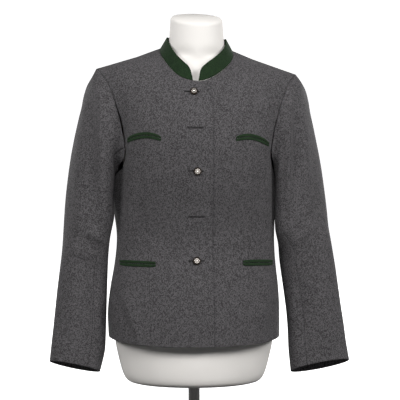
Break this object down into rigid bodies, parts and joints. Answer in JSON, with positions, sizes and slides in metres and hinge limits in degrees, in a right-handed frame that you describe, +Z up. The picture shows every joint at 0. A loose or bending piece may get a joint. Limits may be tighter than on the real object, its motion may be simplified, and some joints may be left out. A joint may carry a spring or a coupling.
{
  "type": "stand-collar jacket on a limbless dress form with a stand",
  "caption": "Short grey wool jacket with a green felt stand collar, green piped pockets and domed silver buttons, shown closed on a plain limbless dress form with a low round stand.",
  "frame": {"origin": "centre of the stand's round underside", "axes": "+Z up along the pole, -Y is the jacket's front, +X is the wearer's left"},
  "size_m": [0.5968, 0.3, 0.8601],
  "materials": {
    "grey_wool": "matte milled wool, grey melange",
    "green_felt": "matte dark green felt",
    "form_cover": "matte off-white cover",
    "dark_steel": "satin dark paint",
    "old_silver": "aged silver, dark in the hollows"
  },
  "bodies": {
    "root": {"stand_base": "dark_steel", "stand_pole": "dark_steel", "dress_form": "form_cover", "front_right": "grey_wool", "front_left": "grey_wool", "side_right": "grey_wool", "side_left": "grey_wool", "back": "grey_wool", "collar": "green_felt", "top_sleeve_right": "grey_wool", "under_sleeve_right": "grey_wool", "top_sleeve_left": "grey_wool", "under_sleeve_left": "grey_wool", "chest_pocket_right_upper_lip": "green_felt", "chest_pocket_right_lower_lip": "green_felt", "chest_pocket_left_upper_lip": "green_felt", "chest_pocket_left_lower_lip": "green_felt", "hip_pocket_right_upper_lip": "green_felt", "hip_pocket_right_lower_lip": "green_felt", "hip_pocket_left_upper_lip": "green_felt", "hip_pocket_left_lower_lip": "green_felt", "button_top": "old_silver", "button_middle": "old_silver", "button_low": "old_silver"}
  },
  "joints": []
}
